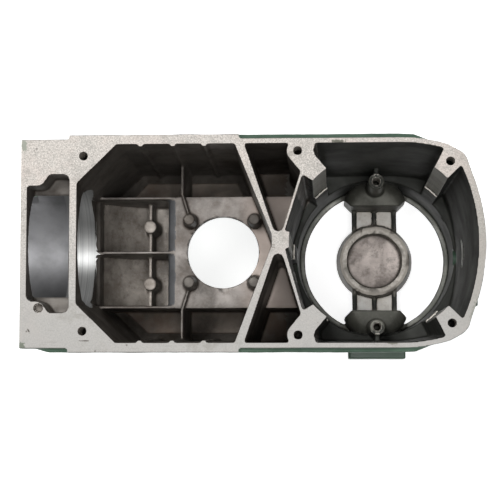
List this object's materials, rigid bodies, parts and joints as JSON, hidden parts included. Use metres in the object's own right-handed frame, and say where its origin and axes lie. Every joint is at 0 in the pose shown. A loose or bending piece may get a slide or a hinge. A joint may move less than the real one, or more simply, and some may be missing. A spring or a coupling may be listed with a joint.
{
  "type": "demolition hammer gearbox housing",
  "caption": "Cast housing with a cylinder bore, a crank chamber and a motor chamber that open on one machined cover face.",
  "frame": {"origin": "on the motor axis, in the plane of the motor opening's rim and the hub's back face", "axes": "+Z along the motor axis, out of the machined cover face; -X along the hammer cylinder, out of the front face"},
  "size_m": [0.2796, 0.13, 0.16],
  "materials": {
    "casting": "cast, machined on the cover face, painted dark green outside"
  },
  "bodies": {
    "root": {"gearbox_housing": "casting"}
  },
  "joints": []
}
